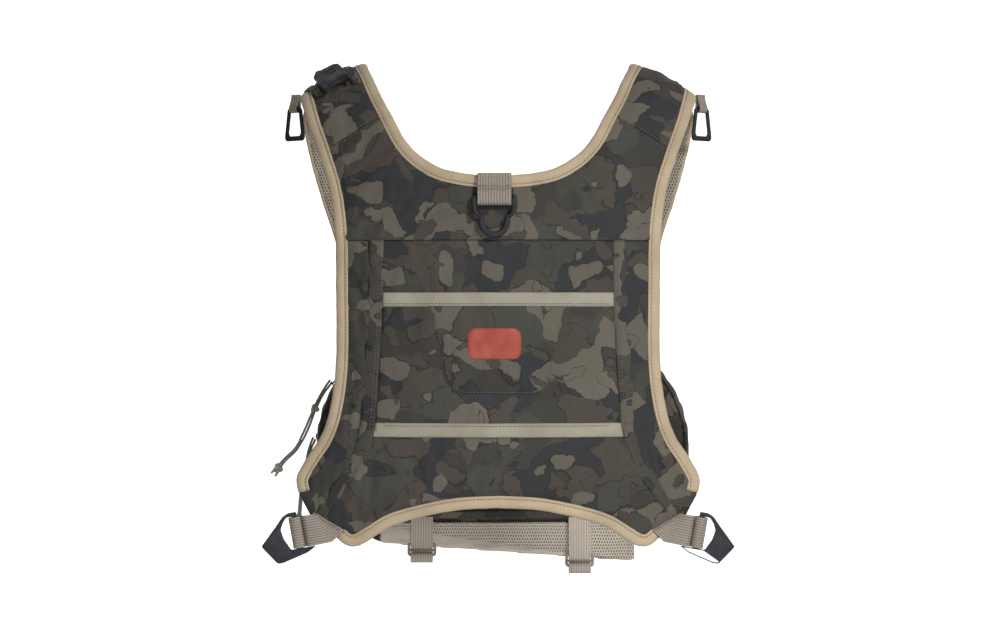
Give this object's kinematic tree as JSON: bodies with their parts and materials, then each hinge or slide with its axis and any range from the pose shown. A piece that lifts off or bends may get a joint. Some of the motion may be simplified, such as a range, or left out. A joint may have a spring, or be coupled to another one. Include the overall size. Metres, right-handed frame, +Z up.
{
  "type": "fishing vest",
  "caption": "Harness vest with a padded chest pack in front, worn over the shoulders to carry fishing tackle, with rings, a dock and side hooks for tools.",
  "frame": {"origin": "between the shoulders, on the line where the straps rest on them", "axes": "+X across the chest towards the wearer's right, +Y the way the wearer faces, +Z up"},
  "size_m": [0.4064, 0.3232, 0.4494],
  "materials": {
    "camo_cloth": "printed camouflage ripstop, matt",
    "tan_binding": "knitted binding tape",
    "khaki_tape": "woven tape",
    "taupe_webbing": "ribbed nylon webbing",
    "spacer_mesh": "open spacer mesh",
    "black_plastic": "moulded acetal, slightly worn",
    "khaki_plastic": "moulded acetal",
    "khaki_cord": "braided cord",
    "zip_coil": "nylon coil and tape",
    "slider_metal": "painted zinc",
    "orange_print": "flat print"
  },
  "bodies": {
    "back": {"back_yoke": "camo_cloth", "back_panel": "camo_cloth", "side_panel_left": "camo_cloth", "side_panel_right": "camo_cloth", "shoulder_left": "camo_cloth", "shoulder_right": "camo_cloth", "back_lining": "spacer_mesh", "neck_binding": "tan_binding", "arm_binding_left": "tan_binding", "arm_binding_right": "tan_binding", "hem_binding": "tan_binding", "side_band_left": "camo_cloth", "side_band_right": "camo_cloth", "pocket_tape_upper": "khaki_tape", "back_pocket": "camo_cloth", "pocket_tape_lower": "khaki_tape", "pocket_patch": "camo_cloth", "plain_label": "orange_print", "neck_loop": "taupe_webbing", "shoulder_dock": "black_plastic", "dock_patch_outer": "camo_cloth", "dock_patch_inner": "camo_cloth", "corner_strap_left": "taupe_webbing", "corner_strap_right": "taupe_webbing"},
    "front": {"front_strap_left": "camo_cloth", "front_strap_right": "camo_cloth", "strap_mesh_left": "spacer_mesh", "strap_mesh_right": "spacer_mesh", "strap_binding_outer_left": "tan_binding", "strap_binding_outer_right": "tan_binding", "strap_binding_inner_left": "tan_binding", "strap_binding_inner_right": "tan_binding", "ring_loop_left": "taupe_webbing", "ring_loop_right": "taupe_webbing", "pack_rear": "camo_cloth", "pack_zip_tape": "zip_coil", "pack_front": "camo_cloth", "front_pocket": "camo_cloth", "front_pocket_zip": "zip_coil", "pack_pad_upper": "spacer_mesh", "pack_trim_strip": "camo_cloth", "pack_pad_lower": "spacer_mesh", "pack_tab_right": "taupe_webbing", "lash_strap_left": "taupe_webbing", "lash_strap_right": "taupe_webbing"},
    "net_ring": {"net_ring": "black_plastic"},
    "tool_ring_left": {"tool_ring_left": "black_plastic"},
    "tool_ring_right": {"tool_ring_right": "black_plastic"},
    "hook_left": {"hook_left": "black_plastic"},
    "hook_right": {"hook_right": "black_plastic"},
    "zip_upper": {"zip_slider_upper": "slider_metal", "pull_cord_upper_a": "khaki_cord", "pull_cord_upper_b": "khaki_cord"},
    "zip_lower": {"zip_slider_lower": "slider_metal", "pull_cord_lower_a": "khaki_cord", "pull_cord_lower_b": "khaki_cord"},
    "pocket_slider": {"pocket_slider": "slider_metal"},
    "triglide_left": {"triglide_left": "khaki_plastic"},
    "triglide_right": {"triglide_right": "khaki_plastic"}
  },
  "joints": [
    {"name": "front_fold", "type": "hinge", "parent": "back", "child": "front", "pos_m": [0, 0, 0.0143], "axis": [1, 0, 0], "range_deg": [0, 90]},
    {"name": "net_ring_swing", "type": "hinge", "parent": "back", "child": "net_ring", "pos_m": [-0.00304, -0.10798, -0.10896], "axis": [-1, 0, 0], "range_deg": [0, 150]},
    {"name": "tool_ring_left_swing", "type": "hinge", "parent": "front", "child": "tool_ring_left", "pos_m": [-0.1795, 0.044, -0.021], "axis": [-0.788, 0.6157, 0], "range_deg": [-15, 100]},
    {"name": "tool_ring_right_swing", "type": "hinge", "parent": "front", "child": "tool_ring_right", "pos_m": [0.1795, 0.044, -0.021], "axis": [-0.788, -0.6157, 0], "range_deg": [-15, 100]},
    {"name": "hook_left_swing", "type": "hinge", "parent": "back", "child": "hook_left", "pos_m": [-0.1675, -0.07609, -0.384], "axis": [-0.1736, 0, 0.9848], "range_deg": [-8, 85]},
    {"name": "hook_right_swing", "type": "hinge", "parent": "back", "child": "hook_right", "pos_m": [0.1675, -0.07609, -0.384], "axis": [-0.1736, 0, -0.9848], "range_deg": [-8, 85]},
    {"name": "zip_upper_run", "type": "hinge", "parent": "front", "child": "zip_upper", "pos_m": [-0.066, 0.1518, -0.32], "axis": [0, 1, 0], "range_deg": [0, 50]},
    {"name": "zip_lower_run", "type": "hinge", "parent": "front", "child": "zip_lower", "pos_m": [-0.066, 0.1518, -0.32], "axis": [0, -1, 0], "range_deg": [0, 80]},
    {"name": "pocket_zip_run", "type": "slide", "parent": "front", "child": "pocket_slider", "axis": [1, 0, 0], "range_m": [0, 0.134]},
    {"name": "triglide_left_slide", "type": "slide", "parent": "front", "child": "triglide_left", "axis": [0, 0, 1], "range_m": [0, 0.014]},
    {"name": "triglide_right_slide", "type": "slide", "parent": "front", "child": "triglide_right", "axis": [0, 0, 1], "range_m": [0, 0.022]}
  ]
}
